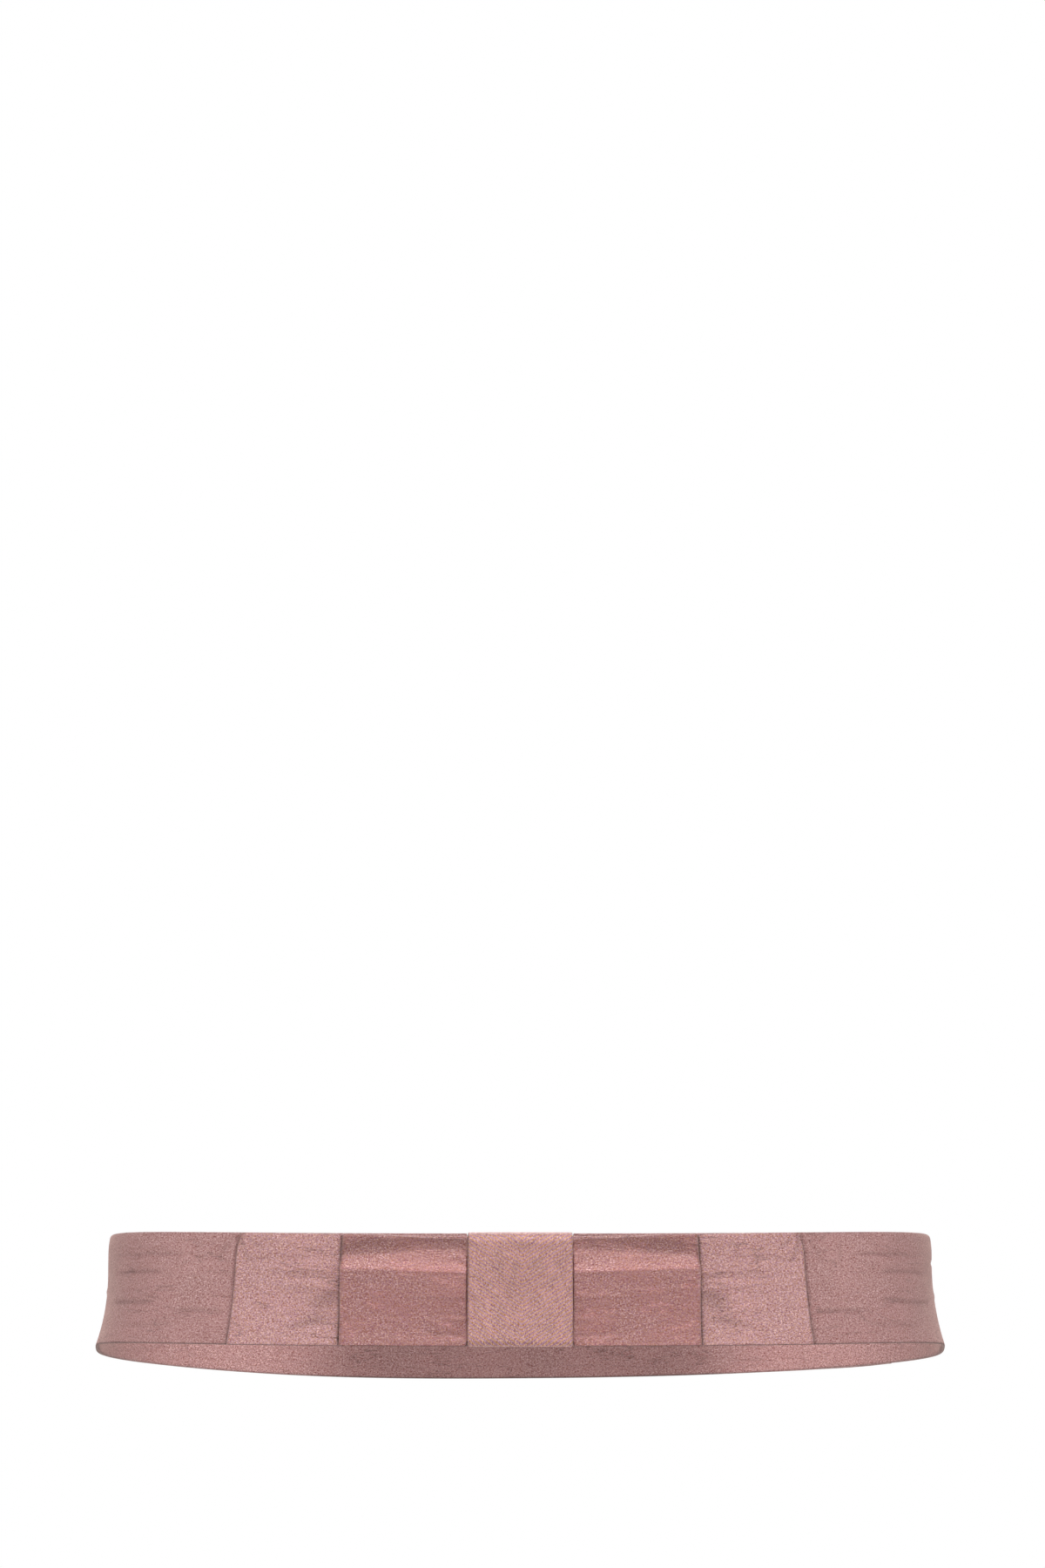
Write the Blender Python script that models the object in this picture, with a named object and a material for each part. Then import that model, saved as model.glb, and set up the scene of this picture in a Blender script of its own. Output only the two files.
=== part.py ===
"""A crepe belt with a flat double bow, closed round a waist as it is worn.

Metres, +Z up. The front of the belt faces -Y and the wearer's left is +X. The origin is on the
wearer's axis, level with the middle of the band at the two sides.

Every piece is a strip of cloth with a real wall, and all of them are placed in the belt's own
coordinates: a girth along the waist, a distance out from the band's wall, and a height up the band.
The pieces are the band, which laps over itself at the wearer's left back and is shut by two sewn
press studs, the wide outer bow, the narrow inner bow on top of it, and the knot strap round them all.
"""

import math

import bmesh
import bpy
import numpy as np
from mathutils import Vector

MM = 0.001

# The waist under the band, as an oval seen from above, to the middle of the band's wall
HALF_WIDTH = 142.5 * MM
HALF_DEPTH = {"front": 97.5 * MM, "back": 99.5 * MM}
OVAL_POWER = {"front": 2.7, "back": 2.4}  # an ellipse has 2, and a squarer oval has more

# The band's height, and how its edges dip at the front and back and lean out at the hips
BAND_HEIGHT = 38.0 * MM
EDGE_FALL = {"front": 4.9 * MM, "back": 5.6 * MM}
FALL_POWER = {"front": 2.1, "back": 1.6}
BACK_LEAN = 0.008  # the back hangs lower on the wearer's right by this much for each unit across
SIDE_DIP = 1.4 * MM  # the upper edge is drawn down where the waist turns
SIDE_DIP_REACH = 13.2 * MM
SIDE_SAG = 1.5 * MM  # the lower edge is eased down over the hips, further round behind than in front
SIDE_SAG_REACH = 13.4 * MM
BEHIND_SAG = {"from": 6.0 * MM, "to": 84.0 * MM}
FLARE = 4.55 * MM  # how far the lower edge stands out at the sides
FLARE_START = 0.684  # the share of the height where the band begins to lean out
FLARE_SHARE = {"front": 0.35, "back": 0.75}
TOP_TUCK = 0.55 * MM  # the upper edge turns in at the sides
TOP_TUCK_START = 0.85
LAYER_DROP = 0.055  # each layer in front hangs lower at its foot, by this share of how far out it is

# The cloth walls and the air between them
BAND_WALL = 1.4 * MM
BOW_WALL = 1.0 * MM
KNOT_WALL = 1.2 * MM
SEAM_GAP = 0.3 * MM
LOOP_HOLLOW = 0.6 * MM

# The knot strap
KNOT_WIDTH = 34.8 * MM
KNOT_PINCH = 1.5 * MM  # how far the knot presses each edge of what it holds
KNOT_PINCH_REACH = 1.5 * MM
KNOT_STAND_OUT = 0.5 * MM  # room left for the fold that runs under the knot
KNOT_CORNER = {"front_top": 3.2 * MM, "front_foot": 1.6 * MM, "back": 1.1 * MM}

# The lap at the wearer's left back, and its press studs
UNDERLAP_END_ACROSS = 101.0 * MM  # where the inner end stops, measured across the belt
LAP_LENGTH = 36.0 * MM
LAP_SETTLE = 22.0 * MM  # the outer layer comes back to the waist over this length
STUD_GAP = 2.0 * MM
STUD_SWELL = 12.0 * MM  # the layers come together again over this length from the studs' rims
STUD_HEIGHTS = {"lower": 10.0 * MM, "upper": 28.0 * MM}
STUD_RADIUS = 3.5 * MM
SOCKET_HOLE_RADIUS = 1.5 * MM
SOCKET_THICKNESS = 0.7 * MM
BALL_PLATE = 0.4 * MM
BALL_RADIUS = 1.0 * MM
BALL_LENGTH = 0.8 * MM
STUD_BEVEL = 0.12 * MM
STUD_STEPS = 16
STUD_MERGE = 0.005 * MM

# Points along and across each wall
BAND_STEP = 7.0 * MM
KNOT_EDGE_STEPS = 3  # closer sections where the knot presses the band
BOW_STEP = 6.5 * MM
FOLD_END_STEPS = 5
EDGE_STEPS = 3  # a rolled edge is a half round in this many steps
BAND_ROWS = 5
KNOT_ROWS = 4

# The folds that run along a bow stand out by a step at their height, and sink back over their rise
OUTER_BOW_FOLDS = [
    {"height": 24.6 * MM, "step": 0.35 * MM, "over": 0.8 * MM, "rise": 8.0 * MM},
    {"height": 18.2 * MM, "step": 0.25 * MM, "over": 0.8 * MM, "rise": 5.0 * MM},
]
INNER_BOW_FOLDS = [
    {"height": 24.6 * MM, "step": 0.9 * MM, "over": 0.7 * MM, "rise": 12.0 * MM},
    {"height": 16.6 * MM, "step": 0.3 * MM, "over": 0.9 * MM, "rise": 6.0 * MM},
]
FOLD_UNDER_KNOT = 0.45  # the share of a fold that is left where the knot presses it

# The bows: half length along the waist, slant of the ends, and how far the upper edge falls
BOWS = {
    "outer_bow": {
        "half": 96.9 * MM,
        "slant": 2.7 * MM,
        "fall_at_ends": 0.2 * MM,
        "fall_at_knot": 1.1 * MM,
        "folds": OUTER_BOW_FOLDS,
        "rows": [7.0 * MM, 13.0 * MM, 21.5 * MM, 31.0 * MM],
    },
    "inner_bow": {
        "half": 59.3 * MM,
        "slant": 0.6 * MM,
        "fall_at_ends": 0.7 * MM,
        "fall_at_knot": 2.3 * MM,
        "folds": INNER_BOW_FOLDS,
        "rows": [7.0 * MM, 12.0 * MM, 20.5 * MM, 27.5 * MM, 31.0 * MM],
    },
}

# Base colours, each as linear red, green and blue
COLOURS = {
    "band": (0.41, 0.235, 0.225),
    "outer_bow": (0.43, 0.245, 0.235),
    "inner_bow": (0.42, 0.24, 0.23),
    "knot": (0.45, 0.26, 0.245),
    "stud": (0.55, 0.54, 0.52),
}
CLOTH_ROUGHNESS = 0.5
METAL_ROUGHNESS = 0.3
SMOOTH_ANGLE = 40  # degrees, past which an edge is left sharp


def smooth(x):
    """0 below 0, 1 above 1, and an even curve between."""
    x = min(max(x, 0.0), 1.0)
    return x * x * (3 - 2 * x)


def oval_table(steps=4000):
    """Girth, x and y at many places round the waist, from the front centre towards the wearer's left."""
    turn = np.linspace(0, 2 * math.pi, steps + 1)
    across, along = np.sin(turn), np.cos(turn)
    depth = np.where(along > 0, HALF_DEPTH["front"], HALF_DEPTH["back"])
    share = np.where(along > 0, 2 / OVAL_POWER["front"], 2 / OVAL_POWER["back"])
    x = HALF_WIDTH * np.sign(across) * np.abs(across) ** share
    y = -depth * np.sign(along) * np.abs(along) ** share
    girth = np.concatenate([[0], np.cumsum(np.hypot(np.diff(x), np.diff(y)))])
    return girth, x, y


GIRTHS, OVAL_X, OVAL_Y = oval_table()
WAIST_GIRTH = float(GIRTHS[-1])


def half_of(y):
    return "front" if y < 0 else "back"


def waist(girth):
    """The place on the oval at that girth, and the direction straight out of it."""
    girth = girth % WAIST_GIRTH
    x = float(np.interp(girth, GIRTHS, OVAL_X))
    y = float(np.interp(girth, GIRTHS, OVAL_Y))
    depth = HALF_DEPTH[half_of(y)]
    power = OVAL_POWER[half_of(y)] - 1
    out = Vector(
        (
            math.copysign(abs(x / HALF_WIDTH) ** power / HALF_WIDTH, x),
            math.copysign(abs(y / depth) ** power / depth, y),
        )
    )
    return Vector((x, y)), out.normalized()


def share_of_depth(y):
    """0 at the sides and 1 at the front or back centre."""
    return abs(y) / HALF_DEPTH[half_of(y)]


def edges_at(place):
    """The heights of the band's two edges at a place on the waist, and how far the lower one sags."""
    half = half_of(place.y)
    depth = share_of_depth(place.y)
    fall = EDGE_FALL[half] * depth ** FALL_POWER[half]
    if half == "front":
        sag = SIDE_SAG * math.exp(-((place.y / SIDE_SAG_REACH) ** 2))
    else:
        fall -= BACK_LEAN * place.x * depth**4
        past = (place.y - BEHIND_SAG["from"]) / (BEHIND_SAG["to"] - BEHIND_SAG["from"])
        sag = SIDE_SAG * (1 - smooth(past))
    dip = SIDE_DIP * math.exp(-((place.y / SIDE_DIP_REACH) ** 2))
    return -BAND_HEIGHT / 2 - fall, BAND_HEIGHT / 2 - fall - dip, sag


def lean_out(place, share):
    """How far the wall stands out of the oval at a share of the band's height."""
    side = abs(place.x / HALF_WIDTH) ** 2
    middle = FLARE_SHARE[half_of(place.y)]
    flare = FLARE * max(0.0, 1 - share / FLARE_START) ** 2
    tuck = TOP_TUCK * max(0.0, (share - TOP_TUCK_START) / (1 - TOP_TUCK_START)) ** 2
    return flare * (middle + (1 - middle) * side) - tuck * side


def on_belt(girth, out, height):
    """The point at a girth along the waist, a distance out of the band's middle, and a height up it."""
    place, direction = waist(girth)
    lower, upper, sag = edges_at(place)
    share = height / BAND_HEIGHT
    level = lower + share * (upper - lower) - sag * max(0.0, 1 - share) ** 2
    if place.y < 0:
        level -= LAYER_DROP * max(0.0, out) * max(0.0, 1 - share) * share_of_depth(place.y)
    flat = place + direction * (out + lean_out(place, share))
    return Vector((flat.x, flat.y, level))


def wall_section(along, out, turn, low, high, rows, wall, raise_by=None):
    """One closed outline round a wall: its outer face, its rolled top, its inner face, its rolled foot.

    along and out are where the wall's middle is, and turn is the angle of its outer side from straight
    out. The wall reaches from low to high, rows are the widths between them that have points of their
    own, and raise_by lifts the outer face.
    """
    half = wall / 2
    face = (math.sin(turn), math.cos(turn))

    def at(across_wall, width):
        return along + across_wall * face[0], out + across_wall * face[1], width

    widths = [low + half, *rows, high - half]
    lift = raise_by or (lambda width: 0.0)
    outline = [at(half + lift(width), width) for width in widths]
    for step in range(1, EDGE_STEPS):
        angle = math.pi * step / EDGE_STEPS
        outline.append(at(half * math.cos(angle), high - half + half * math.sin(angle)))
    outline += [at(-half, width) for width in reversed(widths)]
    for step in range(1, EDGE_STEPS):
        angle = math.pi * step / EDGE_STEPS
        outline.append(at(-half * math.cos(angle), low + half - half * math.sin(angle)))
    return outline


def solid_from_sections(name, sections, place, closed):
    """A closed solid through the outlines in turn, joined round if closed and capped if not."""
    mesh = bmesh.new()
    rings = [[mesh.verts.new(place(*point)) for point in outline] for outline in sections]
    count = len(rings[0])
    pairs = list(zip(rings, rings[1:]))
    if closed:
        pairs.append((rings[-1], rings[0]))
    for near, far in pairs:
        for i in range(count):
            j = (i + 1) % count
            mesh.faces.new((near[i], near[j], far[j], far[i]))
    if not closed:
        mesh.faces.new(rings[0])
        mesh.faces.new(rings[-1])
    bmesh.ops.triangulate(mesh, faces=mesh.faces)
    bmesh.ops.recalc_face_normals(mesh, faces=mesh.faces)
    data = bpy.data.meshes.new(name)
    mesh.to_mesh(data)
    mesh.free()
    return add_object(name, data, COLOURS[name], CLOTH_ROUGHNESS, metallic=0.0)


def add_object(name, data, colour, roughness, metallic):
    """Links the mesh to the scene with a material of its own."""
    material = bpy.data.materials.new(name)
    material.use_nodes = True
    shader = material.node_tree.nodes["Principled BSDF"]
    shader.inputs["Base Color"].default_value = (*colour, 1.0)
    shader.inputs["Roughness"].default_value = roughness
    shader.inputs["Metallic"].default_value = metallic
    data.materials.append(material)
    data.shade_smooth()
    data.set_sharp_from_angle(angle=math.radians(SMOOTH_ANGLE))
    obj = bpy.data.objects.new(name, data)
    bpy.context.scene.collection.objects.link(obj)
    return obj


def even_rows(low, high, count):
    """The widths that part the stretch from low to high into count equal ones."""
    return [low + (high - low) * i / count for i in range(1, count)]


def rows_for_folds(folds, plain):
    """Heights for the rows of a folded strip: plain ones, and two for each fold's step."""
    heights = list(plain)
    for fold in folds:
        heights += [fold["height"] - fold["over"] / 2, fold["height"] + fold["over"] / 2]
    return sorted(heights)


def fold_lift(folds, height):
    """How far the folds raise the outer face: each swells slowly down to its line, then steps back."""
    lift = 0.0
    for fold in folds:
        above = height - (fold["height"] - fold["over"] / 2)
        if above >= 0:
            lift += fold["step"] * smooth(above / fold["over"]) * (
                1 - smooth((above - fold["over"]) / fold["rise"])
            )
    return lift


def knot_hold(girth):
    """1 under the knot, fading to 0 a little way outside it."""
    outside = abs(girth) - KNOT_WIDTH / 2
    return 1 - smooth(outside / KNOT_PINCH_REACH)


def nearest_girth(girth):
    """The same place counted the short way from the front centre."""
    return (girth + WAIST_GIRTH / 2) % WAIST_GIRTH - WAIST_GIRTH / 2


def stations(low, high, step, knot_at=0.0):
    """Girths from low to high, evenly apart but closer together where the knot's edges press."""
    close = []
    for side in (-1, 1):
        for i in range(KNOT_EDGE_STEPS + 1):
            close.append(knot_at + side * (KNOT_WIDTH / 2 + KNOT_PINCH_REACH * i / KNOT_EDGE_STEPS))
    count = round((high - low) / step)
    even = [low + (high - low) * i / count for i in range(count + 1)]
    return sorted(close + [girth for girth in even if min(abs(girth - c) for c in close) > step / 3])


# The band
def girth_at_back(across):
    """The girth of the place on the wearer's left back that is this far across the belt."""
    behind = (OVAL_Y > 0) & (OVAL_X > 0)
    order = np.argsort(OVAL_X[behind])
    return float(np.interp(across, OVAL_X[behind][order], GIRTHS[behind][order]))


UNDERLAP_END = girth_at_back(UNDERLAP_END_ACROSS)
LAP_START = UNDERLAP_END - LAP_LENGTH
STUD_GIRTH = UNDERLAP_END - LAP_LENGTH / 2


def lap_rise(girth):
    """How far out the outer layer of the lap runs, before it comes back to the waist."""
    closed = BAND_WALL + SEAM_GAP
    swell = 1 - smooth((abs(girth - STUD_GIRTH) - STUD_RADIUS) / STUD_SWELL)
    settle = 1 - smooth((girth - UNDERLAP_END - SEAM_GAP) / LAP_SETTLE)
    return closed * settle + (STUD_GAP - SEAM_GAP) * swell


def make_band():
    rows = even_rows(0, BAND_HEIGHT, BAND_ROWS)
    sections = []
    end = UNDERLAP_END + WAIST_GIRTH
    for girth in stations(LAP_START, end, BAND_STEP, knot_at=WAIST_GIRTH):
        pinch = KNOT_PINCH * knot_hold(nearest_girth(girth))
        rise = lap_rise(girth) if girth < WAIST_GIRTH else 0.0
        sections.append(wall_section(girth, rise, 0.0, pinch, BAND_HEIGHT - pinch, rows, BAND_WALL))
    return solid_from_sections("band", sections, on_belt, closed=False)


# The bows
def bow_path(half, inner, outer):
    """A flattened loop seen from above, as rows of girth, distance out and turn of the outer side."""
    radius = (outer - inner) / 2
    middle = (outer + inner) / 2
    reach = half - radius - BOW_WALL / 2
    path = []
    for side in (1, -1):
        outward = 0.0 if side > 0 else math.pi
        for girth in stations(-reach, reach, BOW_STEP):
            path.append((side * girth, middle + side * radius, outward))
        for i in range(1, FOLD_END_STEPS):
            turn = math.pi * i / FOLD_END_STEPS
            path.append(
                (
                    side * (reach + radius * math.sin(turn)),
                    middle + side * radius * math.cos(turn),
                    turn if side > 0 else turn + math.pi,
                )
            )
    return path


def layer_places():
    """How far out the middles of the two sides of each loop lie at the front, counted from the band's."""
    outer_back = BAND_WALL / 2 + SEAM_GAP + BOW_WALL / 2
    outer_front = outer_back + BOW_WALL + LOOP_HOLLOW
    thickest_fold = max(fold["step"] for fold in OUTER_BOW_FOLDS)
    inner_back = outer_front + BOW_WALL + SEAM_GAP + thickest_fold
    inner_front = inner_back + BOW_WALL + LOOP_HOLLOW
    knot_back = -BAND_WALL / 2 - SEAM_GAP - KNOT_WALL / 2
    knot_front = inner_front + BOW_WALL / 2 + KNOT_STAND_OUT + SEAM_GAP + KNOT_WALL / 2
    return {
        "outer_bow": (outer_back, outer_front),
        "inner_bow": (inner_back, inner_front),
        "knot": (knot_back, knot_front),
    }


LAYERS = layer_places()


def make_bow(name):
    """One bow layer: a strip joined into a flattened loop, pressed narrow where the knot holds it."""
    bow = BOWS[name]
    half = bow["half"]
    rows = rows_for_folds(bow["folds"], bow["rows"])
    sections = []
    for girth, out, turn in bow_path(half, *LAYERS[name]):
        hold = knot_hold(girth)
        to_knot = smooth((half - abs(girth)) / (half - KNOT_WIDTH / 2))
        fall = bow["fall_at_ends"] + (bow["fall_at_knot"] - bow["fall_at_ends"]) * to_knot
        low = KNOT_PINCH * hold
        high = BAND_HEIGHT - max(KNOT_PINCH * hold, fall)
        share = max(0.0, math.cos(turn)) * (1 - (1 - FOLD_UNDER_KNOT) * hold)

        def lift(height, share=share):
            return share * fold_lift(bow["folds"], height)

        sections.append(wall_section(girth, out, turn, low, high, rows, BOW_WALL, lift))

    def place(girth, out, height):
        slant = math.copysign(bow["slant"], girth) * (0.5 - height / BAND_HEIGHT)
        return on_belt(girth + slant * abs(girth) / half, out, height)

    return solid_from_sections(name, sections, place, closed=True)


# The knot
def knot_path():
    """The strap seen from its side: up the front, over the top, down inside the band and back under."""
    reach = KNOT_WALL / 2 + SEAM_GAP
    top = BAND_HEIGHT - KNOT_PINCH + reach
    foot = KNOT_PINCH - reach
    back, front = LAYERS["knot"]
    wide, under, tight = KNOT_CORNER["front_top"], KNOT_CORNER["front_foot"], KNOT_CORNER["back"]
    path = corner(front - under, foot + under, under, -90)
    path += upright(foot + under, top - wide, front, 0)
    path += corner(front - wide, top - wide, wide, 0)
    path += corner(back + tight, top - tight, tight, 90)
    path += upright(top - tight, foot + tight, back, 180)
    path += corner(back + tight, foot + tight, tight, 180)
    return path


def corner(out, height, radius, start):
    """A quarter turn about a centre, as rows of height, distance out and turn of the outer side."""
    angles = [math.radians(start + 90 * i / FOLD_END_STEPS) for i in range(FOLD_END_STEPS + 1)]
    return [(height + radius * math.sin(a), out + radius * math.cos(a), a) for a in angles]


def upright(start, end, out, turn):
    """Rows on a long upright stretch, so that the strap follows the band's lean."""
    return [(height, out, math.radians(turn)) for height in even_rows(start, end, BAND_ROWS)]


def make_knot():
    edge = KNOT_WIDTH / 2
    rows = even_rows(-edge, edge, KNOT_ROWS)
    sections = [
        wall_section(height, out, angle, -edge, edge, rows, KNOT_WALL)
        for height, out, angle in knot_path()
    ]
    return solid_from_sections(
        "knot", sections, lambda height, out, girth: on_belt(girth, out, height), closed=True
    )


# The press studs
def turned(name, profile, location, axis):
    """A metal piece turned about its own +Z from a profile of radius and height, then set on its axis."""
    mesh = bmesh.new()
    points = [mesh.verts.new((radius, 0, height)) for radius, height in profile]
    edges = [mesh.edges.new((a, b)) for a, b in zip(points, points[1:] + points[:1])]
    if profile[0][0] == 0:
        mesh.edges.remove(edges.pop())
    bmesh.ops.spin(
        mesh,
        geom=points + edges,
        cent=(0, 0, 0),
        axis=(0, 0, 1),
        angle=2 * math.pi,
        steps=STUD_STEPS,
        use_merge=True,
    )
    bmesh.ops.remove_doubles(mesh, verts=mesh.verts, dist=STUD_MERGE)
    bmesh.ops.recalc_face_normals(mesh, faces=mesh.faces)
    data = bpy.data.meshes.new(name)
    mesh.to_mesh(data)
    mesh.free()
    obj = add_object(name, data, COLOURS["stud"], METAL_ROUGHNESS, metallic=1.0)
    obj.location = location
    obj.rotation_euler = axis.to_track_quat("Z", "Y").to_euler()
    return obj


def make_studs():
    """Two sewn press studs: the ball half on the inner layer, the socket half on the outer one."""
    bevel = STUD_BEVEL
    ball = [
        (0, 0),
        (STUD_RADIUS - bevel, 0),
        (STUD_RADIUS, bevel),
        (STUD_RADIUS, BALL_PLATE - bevel),
        (STUD_RADIUS - bevel, BALL_PLATE),
        (BALL_RADIUS * 0.8, BALL_PLATE),
        (BALL_RADIUS, BALL_PLATE + BALL_LENGTH * 0.6),
        (BALL_RADIUS * 0.7, BALL_PLATE + BALL_LENGTH),
        (0, BALL_PLATE + BALL_LENGTH),
    ]
    socket = [
        (SOCKET_HOLE_RADIUS, 0),
        (STUD_RADIUS - bevel, 0),
        (STUD_RADIUS, bevel),
        (STUD_RADIUS * 0.97, SOCKET_THICKNESS - bevel),
        (STUD_RADIUS * 0.9, SOCKET_THICKNESS),
        (SOCKET_HOLE_RADIUS, SOCKET_THICKNESS),
    ]
    for level, height in STUD_HEIGHTS.items():
        inner_face = on_belt(STUD_GIRTH, BAND_WALL / 2 + SEAM_GAP, height)
        above = on_belt(STUD_GIRTH, BAND_WALL / 2 + SEAM_GAP, height + MM)
        _, direction = waist(STUD_GIRTH)
        rise = (above - inner_face).normalized()
        out = Vector((direction.x, direction.y, 0))
        out = (out - rise * out.dot(rise)).normalized()
        socket_from = STUD_GAP - 2 * SEAM_GAP - SOCKET_THICKNESS
        turned(f"stud_ball_{level}", ball, inner_face, out)
        turned(f"stud_socket_{level}", socket, inner_face + out * socket_from, out)


def clear_scene():
    for obj in list(bpy.data.objects):
        bpy.data.objects.remove(obj)


def main():
    clear_scene()
    make_band()
    for name in BOWS:
        make_bow(name)
    make_knot()
    make_studs()


main()
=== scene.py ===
# %% [markdown]
# # A crepe belt with a flat double bow
#
# This lesson dresses a narrow waist belt, made of dusty pink crepe-back satin. The real belt is a
# strip folded double and turned through. It goes once round the waist and snaps shut at the back.
# At the front two flattened loops lie on it, a wide one and a narrow one on top, and a knot strap
# holds them. The solids are loaded first, and nothing below moves them.

# %% Load the solids
import math

import bpy
import numpy as np
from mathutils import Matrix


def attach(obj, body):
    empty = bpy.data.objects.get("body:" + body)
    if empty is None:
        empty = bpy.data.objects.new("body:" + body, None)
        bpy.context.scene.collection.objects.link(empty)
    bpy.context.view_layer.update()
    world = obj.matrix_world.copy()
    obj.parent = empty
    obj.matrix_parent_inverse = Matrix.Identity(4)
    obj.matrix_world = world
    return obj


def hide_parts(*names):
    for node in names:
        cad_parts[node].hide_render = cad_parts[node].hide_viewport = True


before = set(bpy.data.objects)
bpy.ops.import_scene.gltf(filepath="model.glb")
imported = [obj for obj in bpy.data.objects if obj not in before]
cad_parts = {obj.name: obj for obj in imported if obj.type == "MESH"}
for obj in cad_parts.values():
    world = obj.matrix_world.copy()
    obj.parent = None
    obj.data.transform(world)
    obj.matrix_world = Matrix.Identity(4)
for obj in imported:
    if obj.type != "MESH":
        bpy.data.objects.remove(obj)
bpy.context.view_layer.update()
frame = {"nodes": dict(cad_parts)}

print("nodes:", ", ".join(frame["nodes"]))

# %% [markdown]
# ## Camera
#
# The picture was taken with a long lens from a little below the belt, so that the inside of the back
# shows under its front edge. The belt fills a band low in a tall frame. A lens shift could put it
# there, but one angle does too, so the camera is pitched up.

# %% Camera
MM = 0.001
PICTURE_HEIGHT, FOCAL_PIXELS = 1800, 7876
CAMERA_DISTANCE = 2.4
CAMERA_BELOW = math.radians(3.5)
CAMERA_PITCH = math.radians(7.745)  # up from level
CAMERA_ASIDE = 0.78 * MM  # the belt's centre lies 2.7 pixels left of the picture's
SENSOR = 36.0

camera_data = bpy.data.cameras.new("camera")
camera_data.sensor_width = SENSOR
camera_data.lens = FOCAL_PIXELS / PICTURE_HEIGHT * SENSOR
camera_data.clip_end = 40
camera = bpy.data.objects.new("camera", camera_data)
camera.location = (
    CAMERA_ASIDE,
    -CAMERA_DISTANCE * math.cos(CAMERA_BELOW),
    -CAMERA_DISTANCE * math.sin(CAMERA_BELOW),
)
camera.rotation_euler = (math.pi / 2 + CAMERA_PITCH, 0, 0)
bpy.context.scene.collection.objects.link(camera)
bpy.context.scene.camera = camera
print("lens", round(camera_data.lens, 1), "mm")

# %% [markdown]
# ## The belt's own coordinates
#
# A point on the belt has a girth, counted along the waist from the front centre towards the wearer's
# left, a distance out from the middle of the band's wall, and a height up the band. The waist is an
# oval a little squarer than an ellipse, and flatter in front. The band falls at the front and the
# back, and its lower edge stands out and sags over the hips. These are the solids' own sizes, so that
# what is made here lies where they are.

# %% Waist sizes
HALF_WIDTH = 142.5 * MM
FRONT_DEPTH, BACK_DEPTH = 97.5 * MM, 99.5 * MM
FRONT_POWER, BACK_POWER = 2.7, 2.4
BAND_HEIGHT = 38.0 * MM
FRONT_FALL, FRONT_FALL_POWER = 4.9 * MM, 2.1
BACK_FALL, BACK_FALL_POWER = 5.6 * MM, 1.6
BACK_LEAN, BACK_LEAN_POWER = 0.008, 4  # the back hangs a little lower on one side
SIDE_DIP, SIDE_DIP_REACH = 1.4 * MM, 13.2 * MM
SIDE_SAG, SIDE_SAG_REACH = 1.5 * MM, 13.4 * MM
SAG_FROM, SAG_TO = 6.0 * MM, 84.0 * MM
FLARE, FLARE_START = 4.55 * MM, 0.684
FRONT_FLARE, BACK_FLARE = 0.35, 0.75
TOP_TUCK, TOP_TUCK_START = 0.55 * MM, 0.85
LAYER_DROP = 0.055


def smooth(x):
    """0 below 0, 1 above 1, and an even curve between."""
    x = np.clip(x, 0.0, 1.0)
    return x * x * (3 - 2 * x)


def oval_table(steps=8000):
    """Girth, x and y at many places round the waist."""
    turn = np.linspace(0, 2 * math.pi, steps + 1)
    across, along = np.sin(turn), np.cos(turn)
    share = np.where(along > 0, 2 / FRONT_POWER, 2 / BACK_POWER)
    depth = np.where(along > 0, FRONT_DEPTH, BACK_DEPTH)
    x = HALF_WIDTH * np.sign(across) * np.abs(across) ** share
    y = -depth * np.sign(along) * np.abs(along) ** share
    girth = np.concatenate([[0], np.cumsum(np.hypot(np.diff(x), np.diff(y)))])
    return girth, x, y


GIRTHS, OVAL_X, OVAL_Y = oval_table()
WAIST_GIRTH = float(GIRTHS[-1])


def waist(girth):
    """x and y on the oval at those girths, and the direction straight out of it."""
    girth = np.mod(girth, WAIST_GIRTH)
    x = np.interp(girth, GIRTHS, OVAL_X)
    y = np.interp(girth, GIRTHS, OVAL_Y)
    depth = np.where(y < 0, FRONT_DEPTH, BACK_DEPTH)
    power = np.where(y < 0, FRONT_POWER, BACK_POWER) - 1
    out_x = np.sign(x) * np.abs(x / HALF_WIDTH) ** power / HALF_WIDTH
    out_y = np.sign(y) * np.abs(y / depth) ** power / depth
    size = np.hypot(out_x, out_y)
    return x, y, out_x / size, out_y / size


def on_belt(girth, out, height):
    """The points at those girths, distances out of the band's middle, and heights up it."""
    x, y, out_x, out_y = waist(girth)
    front = y < 0
    depth = np.abs(y) / np.where(front, FRONT_DEPTH, BACK_DEPTH)
    fall_behind = BACK_FALL * depth**BACK_FALL_POWER - BACK_LEAN * x * depth**BACK_LEAN_POWER
    fall = np.where(front, FRONT_FALL * depth**FRONT_FALL_POWER, fall_behind)
    dip = SIDE_DIP * np.exp(-((y / SIDE_DIP_REACH) ** 2))
    sag_behind = 1 - smooth((y - SAG_FROM) / (SAG_TO - SAG_FROM))
    sag = np.where(front, np.exp(-((y / SIDE_SAG_REACH) ** 2)), sag_behind)
    share = height / BAND_HEIGHT
    below = np.clip(1 - share, 0, None)
    level = -BAND_HEIGHT / 2 - fall + share * (BAND_HEIGHT - dip) - SIDE_SAG * sag * below**2
    level = level - np.where(front, LAYER_DROP * np.clip(out, 0, None) * below * depth, 0)
    side = np.abs(x / HALF_WIDTH) ** 2
    middle = np.where(front, FRONT_FLARE, BACK_FLARE)
    flare = FLARE * np.clip(1 - share / FLARE_START, 0, None) ** 2
    tuck = TOP_TUCK * np.clip((share - TOP_TUCK_START) / (1 - TOP_TUCK_START), 0, None) ** 2
    out = out + flare * (middle + (1 - middle) * side) - tuck * side
    return np.stack([x + out * out_x, y + out * out_y, level], axis=-1)


print("waist", round(WAIST_GIRTH * 1000), "mm round")

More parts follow.
